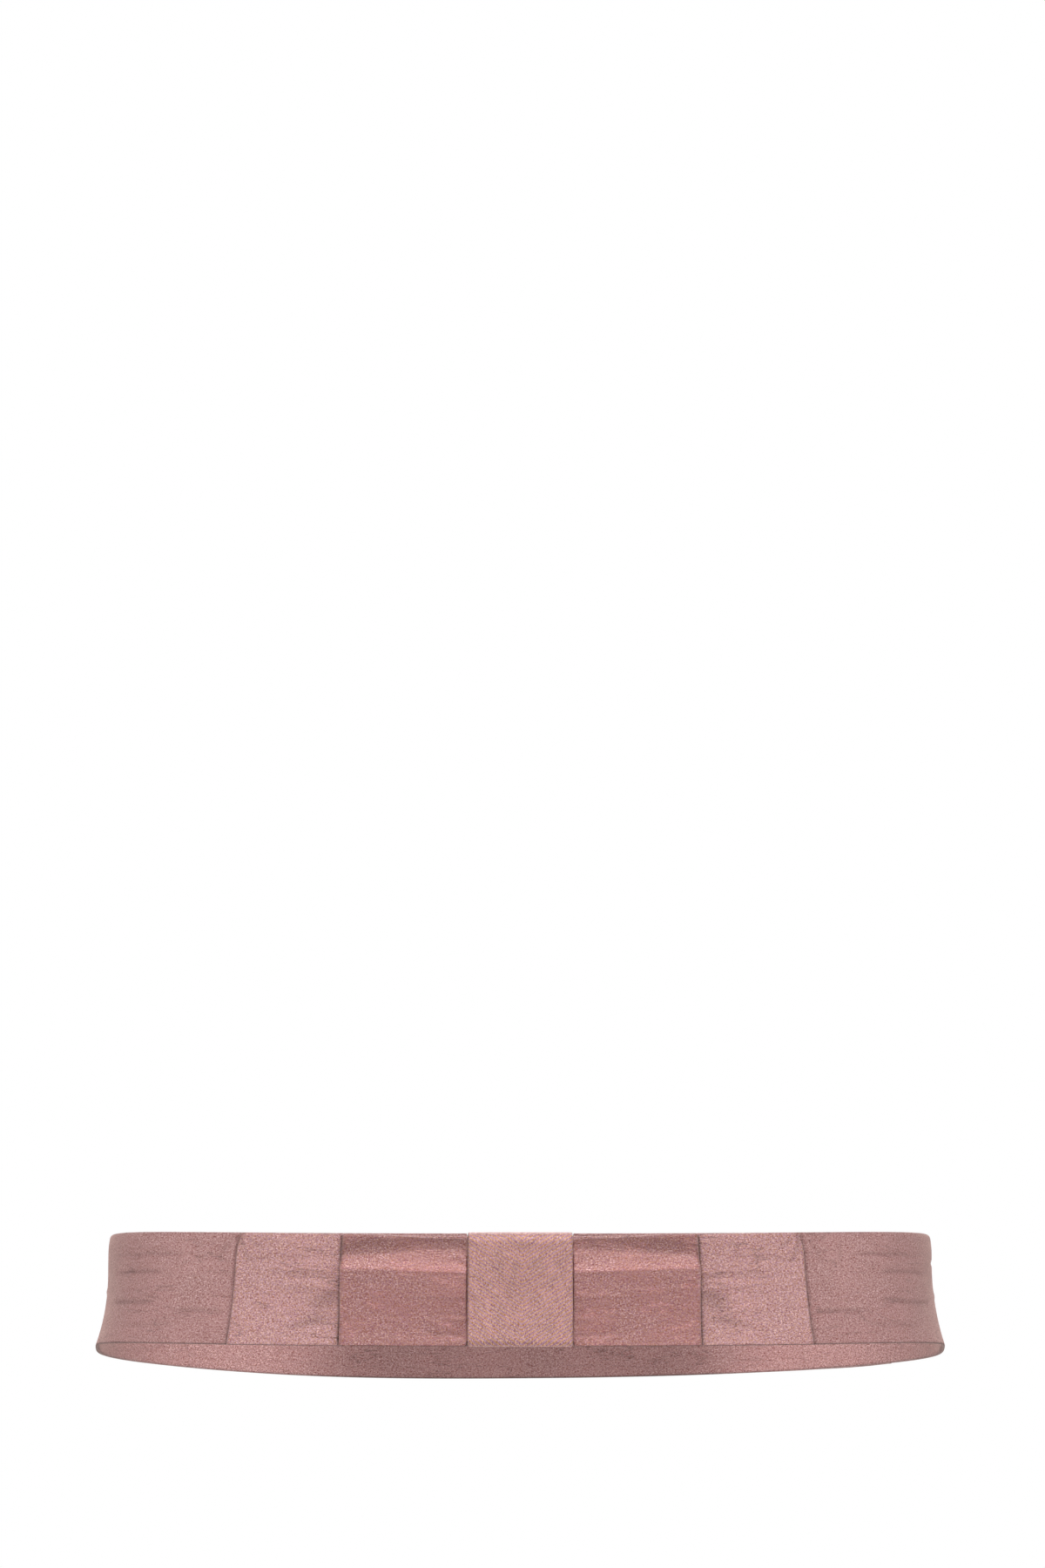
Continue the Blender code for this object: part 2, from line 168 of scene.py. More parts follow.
# %% [markdown]
# ## A strip of cloth
#
# Each piece is a strip folded double and turned through, so its section is a flat sleeve: an outer
# face, a soft rolled edge, an inner face and another rolled edge. It could be a plane with a Solidify
# modifier, but then both edges would be square. So a flat grid is laid out as the cut cloth,
# its rows are folded round the sleeve, and the long edges are sewn together by merging them. The UV
# map keeps the flat cloth's own metres, so that the weave follows the strip round each fold, and an
# attribute keeps how deep in shade the cloth lies.

# %% Fold a strip
FOOT_SHADE, TOP_SHADE = 0.9, 0.35  # on the rolled edges
MERGE_WITHIN = 0.002 * MM


def strip_rows(face_rows, edge_rows):
    """Rows round the sleeve: share of the width, side of the wall, and roll over the edge."""
    face = np.linspace(0, 1, face_rows + 1)
    edge = np.pi * np.arange(1, edge_rows) / edge_rows
    flat = np.zeros(face_rows + 1)
    share = np.concatenate([face, np.ones(edge_rows - 1), face[::-1], np.zeros(edge_rows - 1), [0]])
    side = np.concatenate([flat + 1, np.cos(edge), flat - 1, -np.cos(edge), [1]])
    roll = np.concatenate([flat, np.sin(edge), flat, -np.sin(edge), [0]])
    return share, side, roll


def running_length(points):
    """The distance along a row of points, from its start."""
    return np.concatenate([[0], np.cumsum(np.linalg.norm(np.diff(points, axis=0), axis=1))])


def places_of(mesh):
    """A mesh's points, one in each row."""
    flat = np.empty(len(mesh.vertices) * 3)
    mesh.vertices.foreach_get("co", flat)
    return flat.reshape(-1, 3)


def sew_strip(name, path, rows, wall, relief, place):
    """A strip whose columns follow path and whose rows go round the sleeve.

    path holds each column's girth, out, turn of the outer side, low and high edge, and how full the
    wall is. relief gives, at a girth, a height, a turn and a facing (1 away from the wearer, -1 towards
    them), how far the outer face and the whole wall move out, and how deep in shade they are. place
    turns a girth, an out and a height into a point.
    """
    share, side, roll = rows
    columns, around = len(path["girth"]) - 1, len(share) - 1
    bpy.ops.object.select_all(action="DESELECT")
    bpy.ops.mesh.primitive_grid_add(x_subdivisions=columns, y_subdivisions=around, size=1)
    piece = bpy.context.object
    piece.name = piece.data.name = name
    flat = places_of(piece.data)
    column = np.rint((flat[:, 0] + 0.5) * columns).astype(int)
    row = np.rint((flat[:, 1] + 0.5) * around).astype(int)

    half = wall / 2
    low, high, full = path["low"][column], path["high"][column], path["full"][column]
    height = low + half + share[row] * (high - low - wall) + roll[row] * half
    turn = path["turn"][column]
    facing = side[row] * np.cos(turn)
    face_relief, wall_relief, shade = relief(path["girth"][column], height, turn, facing)
    shows = np.clip(side[row], 0, 1) * np.clip(np.cos(turn), 0, 1)
    across = side[row] * half * full + shows * face_relief
    girth = path["girth"][column] + across * np.sin(turn)
    out = path["out"][column] + across * np.cos(turn) + wall_relief
    points = place(girth, out, height)
    piece.data.vertices.foreach_set("co", points.ravel())
    shade = shade + FOOT_SHADE * np.clip(-roll[row], 0, 1) + TOP_SHADE * np.clip(roll[row], 0, 1)
    piece.data.attributes.new("shade", "FLOAT", "POINT").data.foreach_set("value", np.minimum(shade, 1))

    along = running_length(np.stack([path["girth"], path["out"]], axis=1))
    width = float(np.mean(path["high"] - path["low"]))
    section = np.stack([side * half, share * (width - wall) + roll * half], axis=1)
    cloth = np.stack([along[column], running_length(section)[row]], axis=1)
    corner = np.empty(len(piece.data.loops), dtype=int)
    piece.data.loops.foreach_get("vertex_index", corner)
    layer = piece.data.uv_layers.active
    layer.name = "cloth"
    layer.data.foreach_set("uv", cloth[corner].ravel())

    bpy.ops.object.mode_set(mode="EDIT")
    bpy.ops.mesh.select_all(action="SELECT")
    bpy.ops.mesh.remove_doubles(threshold=MERGE_WITHIN)
    bpy.ops.mesh.normals_make_consistent(inside=False)
    bpy.ops.object.mode_set(mode="OBJECT")
    bpy.ops.object.shade_smooth()
    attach(piece, "root")
    print(name, len(piece.data.polygons), "faces,", round(along[-1] * 1000), "mm of strip")
    return piece


# %% [markdown]
# ## Creases
#
# Satin shows each crease, so the main ones are lines on the cloth, in millimetres, with a depth and a
# width. A soft one is a trough or a ridge. A tuck leans out evenly down to its line, steps back there
# and eases away below, as the narrow loop does above its middle. Each fades out at its ends. A cloth
# simulation would crease a pressed belt too, but not where this one is creased.

# %% Crease shapes
TUCK_CURVE = 1.4  # 1 leans out evenly, and more is hollow


def soft(start, end, depth, width, bow=0.0, fades=(0.25, 0.25), tucked=None):
    """A trough or a ridge between two places, each a girth and a height. bow bends its middle."""
    return start, end, depth, width, bow, fades, tucked


def tuck(start, end, depth, width, rise, keep, ease, bow, fades):
    """A tuck that starts to lean out at rise above the line's start and end. Under the line it keeps
    a share of its depth, which eases away."""
    return soft(start, end, depth, width, bow, fades, (*rise, keep, ease))


def relief_of(creases, girth, height):
    """How far the creases move the cloth out, in metres, at girths and heights in metres."""
    total = np.zeros_like(height)
    for start, end, depth, width, bow, fades, tucked in creases:
        run, climb = end[0] - start[0], end[1] - start[1]
        right, up = girth / MM - start[0], height / MM - start[1]
        length = math.hypot(run, climb)
        along = (right * run + up * climb) / length**2
        away = (up * run - right * climb) / length - bow * 4 * along * (1 - along)
        fade = smooth(along / fades[0]) * smooth((1 - along) / fades[1])
        if tucked:
            rise_start, rise_end, keep, ease = tucked
            rise = rise_start + (rise_end - rise_start) * np.clip(along, 0, 1)
            above = np.clip(1 - away / rise, 0, 1) ** TUCK_CURVE
            below = keep * (1 - smooth(-away / ease))
            step = smooth(away / width)
            total += depth * fade * (step * above + (1 - step) * below)
        else:
            total += depth * fade * np.exp(-((away / width) ** 2))
    return total * MM


trial = relief_of([soft((0, 0), (40, 0), -0.3, 1.0)], 20 * MM, 0.0)
print("a trial trough is", round(trial / MM, 2), "mm in its middle")

# %% [markdown]
# ## Where the creases lie
#
# Girths count from the front centre, and heights from the lower edge. The front is even on both sides,
# so one table serves both. Above the narrow loop's tuck the satin is pulled tight, and a table of its
# own paints a highlight there, saying how much brighter the colour is made. A slow swell lies under
# all of them.

# %% Crease tables
INNER_BOW_CREASES = [
    tuck((10, 23.9), (64, 25.2), 1.5, 0.45, rise=(9.5, 5.5), keep=0.78, ease=22.0,
         bow=0.25, fades=(0.16, 0.02)),
    soft((12, 35.4), (64, 31.8), -0.5, 2.8, fades=(0.2, 0.05)),
    tuck((12, 15.6), (48, 17.0), 0.4, 0.5, rise=(6.0, 3.0), keep=0.3, ease=4.0,
         bow=-0.3, fades=(0.2, 0.5)),
    soft((16, 10.3), (29, 10.9), -0.16, 0.7),
    soft((16, 8.9), (25, 9.1), 0.14, 0.6),
    soft((16, 4.3), (34, 4.9), -0.18, 0.9, -0.5),
    soft((22, 5.6), (34, 8.6), 0.14, 0.8, 0.6),
    soft((25, 3.0), (33, 6.2), -0.13, 0.6),
    soft((16.5, 27.0), (22.5, 31.4), 0.2, 0.6),
    soft((16.5, 26.2), (24.0, 29.0), -0.2, 0.6),
    soft((16.5, 29.5), (21.0, 34.4), -0.16, 0.5),
    soft((33, 34.0), (47, 33.2), 0.14, 0.7, 0.4),
    soft((38, 12.5), (60, 10.0), -0.12, 1.6, -0.8),
    soft((44, 20.8), (61, 20.2), -0.14, 1.1, 0.5),
]
# A painted highlight, not a change of shape: how much brighter the colour is above the tuck.
INNER_BOW_PAINTED_SHINE = [
    tuck((10, 23.9), (64, 25.2), 0.5, 0.45, rise=(9.5, 7.0), keep=0.0, ease=1.0,
         bow=0.25, fades=(0.1, 0.02)),
]
OUTER_BOW_CREASES = [
    tuck((52, 23.3), (93, 25.9), 0.5, 0.6, rise=(7.0, 4.0), keep=0.2, ease=4.0,
         bow=-0.4, fades=(0.1, 0.3)),
    tuck((52, 16.8), (92, 20.3), 0.5, 0.7, rise=(5.0, 2.5), keep=0.1, ease=3.0,
         bow=0.5, fades=(0.1, 0.5)),
    soft((58, 22.3), (80, 22.6), -0.18, 0.7, 0.3),
    soft((57, 22.0), (74, 6.0), -0.4, 3.2, fades=(0.15, 0.6)),
    soft((95.2, 40.0), (95.4, 32.0), -0.45, 0.5, fades=(0.1, 0.4)),
    soft((60, 8.8), (79, 5.2), -0.22, 1.2, 0.5),
    soft((62, 11.9), (84, 12.9), 0.14, 1.3, -0.6),
    soft((68, 29.4), (95, 28.2), -0.14, 1.0, 0.4),
    soft((95.6, 36.8), (91.0, 27.0), -0.26, 0.7, 0.5),
    soft((95.4, 36.8), (86.5, 31.6), -0.24, 0.6),
    soft((95.4, 37.0), (88.6, 28.6), 0.2, 0.6),
    soft((95.8, 36.0), (95.2, 24.0), 0.16, 0.7),
    soft((66, 34.2), (83, 35.2), 0.12, 0.7, -0.3),
]
BAND_FRONT_CREASES = [
    soft((113, 30.3), (152, 29.4), -0.2, 0.6, 0.6),
    soft((118, 32.6), (141, 33.3), 0.13, 0.6, -0.4),
    soft((121, 24.2), (163, 23.6), -0.28, 0.7, 0.5),
    soft((108, 22.2), (134, 24.8), 0.16, 0.8, 0.3),
    soft((126, 15.0), (167, 14.2), -0.28, 0.8, -0.6),
    soft((131, 17.4), (158, 18.8), 0.15, 0.7, 0.5),
    soft((99, 10.9), (124, 11.6), -0.26, 1.0, 0.3),
    soft((118, 7.4), (150, 6.2), -0.17, 0.8, -0.5),
    soft((111.2, 26.0), (111.8, 36.5), -0.2, 0.6),
    soft((115.4, 27.5), (114.6, 36.0), 0.14, 0.6),
    soft((97.6, 36.6), (104.5, 27.0), -0.24, 0.6, 0.6),
    soft((97.6, 36.0), (109.5, 31.4), 0.17, 0.6, -0.5),
    soft((98.6, 30.0), (99.8, 14.0), 0.14, 0.9),
    soft((97.0, 40.0), (98.6, 26.0), 0.35, 0.8, fades=(0.1, 0.6)),
]
BAND_ROUND_CREASES = [
    soft((172, 27.8), (221, 29.5), -0.28, 0.9, 0.8),
    soft((181, 18.4), (209, 17.1), 0.2, 1.0, -0.6),
    soft((196, 10.2), (248, 12.6), -0.3, 1.2, 0.7),
    soft((205, 22.8), (237, 21.6), -0.22, 0.8, -0.4),
    soft((322, 26.6), (371, 24.9), -0.27, 0.9, -0.5),
    soft((338, 14.0), (402, 15.8), -0.3, 1.3, 0.8),
    soft((352, 31.8), (391, 32.4), 0.16, 0.8, 0.4),
    soft((379, 20.9), (431, 19.2), -0.25, 0.9, -0.7),
    soft((408, 8.1), (452, 7.0), 0.2, 1.0, 0.5),
    soft((436, 28.9), (489, 27.2), -0.26, 1.0, 0.6),
    soft((461, 16.9), (503, 18.3), -0.22, 0.9, -0.5),
    soft((512, 23.7), (566, 25.6), -0.3, 1.1, 0.9),
    soft((534, 12.4), (579, 10.1), -0.26, 1.0, -0.6),
    soft((559, 31.2), (596, 30.1), 0.17, 0.8),
    soft((583, 19.8), (617, 18.5), 0.18, 0.9, 0.5),
]


DRIFT = 0.16 * MM
SWAY_LENGTH, SWAY, SWAY_CLIMB = 11.3, 0.9, 7.1
DRIFT_WAVES = [(6.7, -9.4, 1.3), (17.9, 5.2, 0.4)]  # millimetres along and up for a radian, and start


def drift(girth, height):
    """A slow uneven swell over the cloth."""
    along, up = girth / MM, height / MM
    wave = np.sin(along / SWAY_LENGTH + SWAY * np.sin(up / SWAY_CLIMB))
    for length, climb, start in DRIFT_WAVES:
        wave = wave + np.sin(along / length + up / climb + start)
    return DRIFT * wave / (len(DRIFT_WAVES) + 1)


print(len(INNER_BOW_CREASES) + len(OUTER_BOW_CREASES), "bow creases a side")

# %% [markdown]
# ## What holds and hides the band
#
# The knot strap presses the band's edges together a little. Behind, the outer end laps over the inner
# one, and two press studs hold them 2 mm apart, so the outer layer swells over them. The bow keeps the
# light off the band. All this depends on the place alone, so short functions of the place say it.

# %% Band sizes
BAND_WALL, SEAM_GAP = 1.4 * MM, 0.3 * MM
KNOT_WIDTH = 34.8 * MM
KNOT_PINCH, KNOT_PINCH_REACH = 1.5 * MM, 0.6 * MM
KNOT_EDGE = np.arange(17.4, 18.2, 0.12) * MM  # closer columns where the strap bites in
OUTER_SHAPE = (96.9 * MM, 2.7 * MM, 1.0 * MM)  # the wide loop's half length, slant and corner pull
OUTER_EDGE = np.arange(94.6, 99.4, 0.35) * MM
PULL_FROM, PULL_OVER, PULL_POWER = 0.8, 0.2, 4  # how a tack draws a loop's top corner in
UNDERLAP_END_ACROSS = 101.0 * MM
LAP_LENGTH, LAP_SETTLE = 36.0 * MM, 22.0 * MM
STUD_GAP, STUD_RADIUS, STUD_SWELL = 2.0 * MM, 3.5 * MM, 12.0 * MM

behind = np.flatnonzero((OVAL_Y > 0) & (OVAL_X > 0))
behind = behind[np.argsort(OVAL_X[behind])]
UNDERLAP_END = float(np.interp(UNDERLAP_END_ACROSS, OVAL_X[behind], GIRTHS[behind]))
LAP_START = UNDERLAP_END - LAP_LENGTH
STUD_GIRTH = UNDERLAP_END - LAP_LENGTH / 2


def knot_hold(girth):
    """1 under the knot, fading to 0 a little way outside it."""
    return 1 - smooth((np.abs(girth) - KNOT_WIDTH / 2) / KNOT_PINCH_REACH)


def closer(girth, places):
    """The girths, and more at these places on both sides of the front centre."""
    return np.unique(np.concatenate([girth, places, -places]))


def beside(girth, edge, overhang, width):
    """1 under an edge's overhang, and fading out over a width beyond it."""
    return np.clip(1 - (girth - edge - overhang) / width, 0, 1) ** 2 * (girth > edge)


def nearest_girth(girth):
    """The same place counted the short way from the front centre."""
    return np.mod(girth + WAIST_GIRTH / 2, WAIST_GIRTH) - WAIST_GIRTH / 2


def lap_rise(girth):
    """How far out the outer layer of the lap runs."""
    swell = 1 - smooth((np.abs(girth - STUD_GIRTH) - STUD_RADIUS) / STUD_SWELL)
    settle = 1 - smooth((girth - UNDERLAP_END - SEAM_GAP) / LAP_SETTLE)
    return (BAND_WALL + SEAM_GAP) * settle + (STUD_GAP - SEAM_GAP) * swell


def bow_lean(share, height, slant, corner_pull):
    """How far a loop leans out along the belt at a share of its half length, and a height."""
    corner = smooth((height - PULL_FROM * BAND_HEIGHT) / (PULL_OVER * BAND_HEIGHT))
    pull = corner_pull * corner * share**PULL_POWER
    return slant * (0.5 - height / BAND_HEIGHT) * share - pull


def end_of(shape, height):
    """How far from the front centre a loop of that shape ends at a height."""
    return shape[0] + bow_lean(1.0, height, *shape[1:])


print("the lap starts", round(LAP_START * 1000), "mm from the front centre")

# %% [markdown]
# ## The band
#
# The band is one strip, 38 mm wide when pressed. Its inner end starts at the wearer's left back, and
# it passes once round the waist and laps over itself there. Both ends are turned in, so their columns
# round off like the edges. A modifier could bend it along a curve, but not lap it over its own end.

# %% Band
BAND_STEP = 1.5 * MM
BAND_ROWS = strip_rows(face_rows=70, edge_rows=6)
END_ROUNDING = 6  # columns in each rounded end
BOW_REACH, BOW_REACH_EASE = 90 * MM, 10 * MM  # the drift starts where the bow ends
LAP_CALM, LAP_CALM_EASE, LAP_END_EASE = 30 * MM, 20 * MM, 50 * MM  # and stops at the lap
FACE_SHARE, WALL_SHARE = 0.5, 0.9  # of a crease, in the outer face alone and in the whole wall
BOW_OVERHANG, BOW_SHADE_WIDTH = 0.8 * MM, 1.5 * MM
BOW_SHADE_LOSS = 0.5  # how much less shade there is at the top
BAND_TROUGH_SHADE = 0.25
INSIDE_SHADE, INSIDE_LIT = 0.34, 0.48  # little light gets in behind the bow, and more at the sides
INSIDE_FROM, INSIDE_REACH = -20 * MM, 100 * MM
HIDDEN_HALF, HIDDEN_EASE = 52 * MM, 44 * MM


def band_path():
    """Where the band's columns lie, from its inner end round to its outer one."""
    end = UNDERLAP_END + WAIST_GIRTH
    half = BAND_WALL / 2
    rounding = half * (1 - np.cos(np.linspace(0, np.pi / 2, END_ROUNDING)))
    middle = np.linspace(LAP_START + half, end - half, round((end - LAP_START) / BAND_STEP))
    middle = closer(middle - WAIST_GIRTH, np.concatenate([KNOT_EDGE, OUTER_EDGE])) + WAIST_GIRTH
    girth = np.concatenate([LAP_START + rounding[:-1], middle, (end - rounding[:-1])[::-1]])
    from_end = np.minimum(girth - LAP_START, end - girth)
    full = np.sqrt(1 - (1 - np.clip(from_end / half, 0, 1)) ** 2)
    pinch = KNOT_PINCH * knot_hold(nearest_girth(girth))
    out = np.where(girth < WAIST_GIRTH, lap_rise(girth), 0.0)
    path = {"girth": girth, "out": out, "turn": np.zeros_like(girth)}
    return {**path, "low": pinch, "high": BAND_HEIGHT - pinch, "full": full}


def band_shade(girth, height, facing, creases):
    """Outside it is darker beside the wide loop's ends and in troughs, and inside behind the bow."""
    near = nearest_girth(girth)
    bow_end = end_of(OUTER_SHAPE, height)
    outside = beside(np.abs(near), bow_end, BOW_OVERHANG, BOW_SHADE_WIDTH)
    outside = outside * (1 - BOW_SHADE_LOSS * height / BAND_HEIGHT)
    outside = outside + np.clip(-creases / MM, 0, BAND_TROUGH_SHADE)
    x, y, _, _ = waist(girth)
    hidden = smooth(y / BACK_DEPTH) * (1 - smooth((np.abs(x) - HIDDEN_HALF) / HIDDEN_EASE))
    lit = INSIDE_LIT * smooth((y - INSIDE_FROM) / INSIDE_REACH)
    inside = (INSIDE_SHADE + INSIDE_LIT) * hidden - lit
    return np.where(facing > 0, outside * (1 - knot_hold(near)), inside)


def band_relief(girth, height, turn, facing):
    """The front's creases are even on both sides, and the rest has its own."""
    near = nearest_girth(girth)
    loose = 1 - knot_hold(near)
    creases = relief_of(BAND_FRONT_CREASES, np.abs(near), height)
    creases = creases + relief_of(BAND_ROUND_CREASES, np.mod(girth, WAIST_GIRTH), height)
    swell = drift(girth, height) * smooth((np.abs(near) - BOW_REACH) / BOW_REACH_EASE)
    calm = smooth((np.abs(girth - STUD_GIRTH) - LAP_CALM) / LAP_CALM_EASE)
    calm = calm * smooth((UNDERLAP_END + WAIST_GIRTH - girth) / LAP_END_EASE)
    wall = (creases * WALL_SHARE + swell) * loose * calm
    return creases * loose * FACE_SHARE, wall, band_shade(girth, height, facing, creases)


band = sew_strip("band_cloth", band_path(), BAND_ROWS, BAND_WALL, band_relief, on_belt)
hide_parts("band")

# %% [markdown]
# ## The bow's two loops
#
# A flat bow has no tied ends. Each layer is a strip joined into a loop and pressed flat, so that both
# ends are folds. The columns run along the front of the loop, round one fold, back behind and round
# the other. The wide loop is tacked to the band at the top of each end, which draws that corner in.

# %% Bow loops
BOW_WALL, LOOP_HOLLOW = 1.0 * MM, 0.6 * MM
FOLD_UNDER_KNOT = 0.45
OUTER_BACK = BAND_WALL / 2 + SEAM_GAP + BOW_WALL / 2
OUTER_FRONT = OUTER_BACK + BOW_WALL + LOOP_HOLLOW
OUTER_FOLD_DEPTH = 0.35 * MM
INNER_BACK = OUTER_FRONT + BOW_WALL + SEAM_GAP + OUTER_FOLD_DEPTH
INNER_FRONT = INNER_BACK + BOW_WALL + LOOP_HOLLOW
FOLD_COLUMNS = 12
BOW_ROWS = strip_rows(face_rows=60, edge_rows=6)
INNER_SHAPE = (59.3 * MM, 0.6 * MM, 0.3 * MM)
KNOT_SHAPE = (KNOT_WIDTH / 2, 0.0, 0.0)
INNER_EDGE = np.arange(58.6, 61.6, 0.25) * MM  # closer columns beside the narrow loop's ends
KNOT_SIDE = np.arange(18.2, 19.4, 0.25) * MM  # and beside the strap
FLAT_FRONT = 0.9  # facing more than this
FOLD_SHADE, FOLD_SHADE_WIDTH = 0.5, 1.6 * MM
BOW_TROUGH_SHADE = 0.3


def bow_path(half, back, front, fall_at_ends, fall_at_knot, step, close):
    """Where a loop's columns lie, once round. Its top falls at its ends and at the knot."""
    radius, middle = (front - back) / 2, (front + back) / 2
    reach = half - radius - BOW_WALL / 2
    run = closer(np.linspace(-reach, reach, round(2 * reach / step)), close)
    turn = np.pi * np.arange(1, FOLD_COLUMNS) / FOLD_COLUMNS
    outline = {
        "girth": [run, reach + radius * np.sin(turn), -run, -reach - radius * np.sin(turn), run[:1]],
        "out": [
            np.full_like(run, front), middle + radius * np.cos(turn),
            np.full_like(run, back), middle - radius * np.cos(turn), [front],
        ],
        "turn": [0 * run, turn, np.full_like(run, np.pi), turn + np.pi, [0.0]],
    }
    path = {key: np.concatenate(parts) for key, parts in outline.items()}
    hold = knot_hold(path["girth"])
    to_knot = smooth((half - np.abs(path["girth"])) / (half - KNOT_WIDTH / 2))
    fall = fall_at_ends + (fall_at_knot - fall_at_ends) * to_knot
    path["low"] = KNOT_PINCH * hold
    path["high"] = BAND_HEIGHT - np.maximum(KNOT_PINCH * hold, fall)
    path["full"] = np.ones_like(hold)
    return path


def make_bow(name, shape, back, front, falls, creases, step, edge, shadow, painted_shine=()):
    """A flat loop between two distances out. What lies on it casts a painted shade on it beside an edge,
    where its columns are closer, and a painted highlight brightens it where the satin is pulled tight."""
    half, *leaning = shape

    def relief(girth, height, turn, facing):
        held = 1 - (1 - FOLD_UNDER_KNOT) * knot_hold(girth)
        moved = relief_of(creases, np.abs(girth), height) * held
        hidden_to = end_of(shadow["under"], height)
        hidden_to = hidden_to - bow_lean(hidden_to / half, height, *leaning)
        shade = beside(np.abs(girth), hidden_to, shadow["overhang"], shadow["width"])
        shade = shadow["depth"] * shade * (facing > FLAT_FRONT)
        at_fold = smooth((np.abs(girth) - half + FOLD_SHADE_WIDTH) / FOLD_SHADE_WIDTH)
        shade = shade + FOLD_SHADE * at_fold + np.clip(-moved / MM, 0, BOW_TROUGH_SHADE)
        # A painted highlight where the satin is pulled tight, taken off the painted shade.
        shine = relief_of(painted_shine, np.abs(girth), height) / MM * (facing > FLAT_FRONT)
        return moved, 0.0, shade - shine

    def place(girth, out, height):
        lean = bow_lean(np.abs(girth) / half, height, *leaning)
        return on_belt(girth + np.sign(girth) * lean, out, height)

    path = bow_path(half, back, front, *falls, step, np.concatenate([KNOT_EDGE, edge]))
    return sew_strip(name, path, BOW_ROWS, BOW_WALL, relief, place)


outer_bow = make_bow(
    "outer_bow_cloth", OUTER_SHAPE, OUTER_BACK, OUTER_FRONT,
    falls=(0.2 * MM, 1.1 * MM), creases=OUTER_BOW_CREASES, step=1.1 * MM, edge=INNER_EDGE,
    shadow={"under": INNER_SHAPE, "depth": 1.0, "overhang": 0.45 * MM, "width": 1.6 * MM},
)
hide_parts("outer_bow")

inner_bow = make_bow(
    "inner_bow_cloth", INNER_SHAPE, INNER_BACK, INNER_FRONT,
    falls=(0.7 * MM, 2.3 * MM), creases=INNER_BOW_CREASES, step=0.8 * MM, edge=KNOT_SIDE,
    shadow={"under": KNOT_SHAPE, "depth": 0.4, "overhang": 0, "width": 1.2 * MM},
    painted_shine=INNER_BOW_PAINTED_SHINE,
)
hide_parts("inner_bow")

# %% [markdown]
# ## The knot strap
#
# The strap goes up the front of the bow, over the top, down inside the band and back underneath. Its
# columns follow that path, and its rows go across the belt, so this is the same folded strip turned
# by a quarter. On the belt its length runs along the height, and its width along the girth.

# %% Knot strap
KNOT_WALL, KNOT_STAND_OUT = 1.2 * MM, 0.5 * MM
KNOT_FRONT = INNER_FRONT + BOW_WALL / 2 + KNOT_STAND_OUT + SEAM_GAP + KNOT_WALL / 2
KNOT_BACK = -BAND_WALL / 2 - SEAM_GAP - KNOT_WALL / 2
CORNER_TOP, CORNER_FOOT, CORNER_BACK = 3.2 * MM, 1.6 * MM, 1.1 * MM
CORNER_COLUMNS, UPRIGHT_STEP = 10, 0.6 * MM
KNOT_ROWS = strip_rows(face_rows=56, edge_rows=6)


def knot_path():
    """Where the strap's columns lie, once round. Its length takes the place of the girth."""
    reach = KNOT_WALL / 2 + SEAM_GAP
    top, foot = BAND_HEIGHT - KNOT_PINCH + reach, KNOT_PINCH - reach

    def corner(out, height, radius, start):
        turn = math.radians(start) + np.linspace(0, np.pi / 2, CORNER_COLUMNS)
        return height + radius * np.sin(turn), out + radius * np.cos(turn), turn

    def straight(start, end):
        count = round(math.dist(start[:2], end[:2]) / UPRIGHT_STEP)
        share = np.linspace(0, 1, count + 1)[1:-1]
        return [a + (b - a) * share for a, b in zip(start, end)]

    corners = [
        corner(KNOT_FRONT - CORNER_FOOT, foot + CORNER_FOOT, CORNER_FOOT, -90),
        corner(KNOT_FRONT - CORNER_TOP, top - CORNER_TOP, CORNER_TOP, 0),
        corner(KNOT_BACK + CORNER_BACK, top - CORNER_BACK, CORNER_BACK, 90),
        corner(KNOT_BACK + CORNER_BACK, foot + CORNER_BACK, CORNER_BACK, 180),
    ]
    height, out, turn = corners[0]
    corners.append((height[:1], out[:1], turn[:1] + 2 * np.pi))
    parts = corners[:1]
    for before, after in zip(corners, corners[1:]):
        parts += [straight([values[-1] for values in before], [values[0] for values in after]), after]
    height, out, turn = (np.concatenate(values) for values in zip(*parts))
    width = np.full_like(height, KNOT_WIDTH / 2)
    path = {"girth": height, "out": out, "turn": turn}
    return {**path, "low": -width, "high": width, "full": np.ones_like(height)}


KNOT_CROWN = 0.22 * MM
JOIN_HEIGHT, JOIN_STEP, JOIN_DEPTH = 20.0 * MM, 0.7 * MM, 0.5 * MM
JOIN_FOOT, JOIN_FOOT_EASE = 3 * MM, 12 * MM
# How high and how wide the strap's middle is darkened, and by how much.
KNOT_DARK_AT, KNOT_DARK_REACH, KNOT_MIDDLE_DARK = 22 * MM, 9 * MM, 0.08
KNOT_CREASES = [
    soft((9, -17), (13, 17), 0.1, 2.4, 0.8),
    soft((28, 17), (25, -17), -0.1, 2.2, -0.9),
    soft((34, -8), (31, 8), -0.12, 1.5),
]


def knot_relief(height, girth, turn, facing):
    """The strap crowns between its edges, laps over its end behind, and is darker in its middle."""
    crown = KNOT_CROWN * (1 - (girth / (KNOT_WIDTH / 2)) ** 2)
    behind = np.clip(-np.cos(turn), 0, 1)
    lapped = smooth((JOIN_HEIGHT - height) / JOIN_STEP) * smooth((height - JOIN_FOOT) / JOIN_FOOT_EASE)
    # Darker towards the strap's middle, put into the shade attribute.
    wear_and_tone = np.exp(-((girth / KNOT_DARK_REACH) ** 2) - ((height - KNOT_DARK_AT) / KNOT_DARK_REACH) ** 2)
    face = crown + relief_of(KNOT_CREASES, height, girth)
    return face, -JOIN_DEPTH * behind * lapped, KNOT_MIDDLE_DARK * wear_and_tone


knot = sew_strip(
    "knot_cloth", knot_path(), KNOT_ROWS, KNOT_WALL, knot_relief,
    lambda height, out, girth: on_belt(girth, out, height),
)
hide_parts("knot")

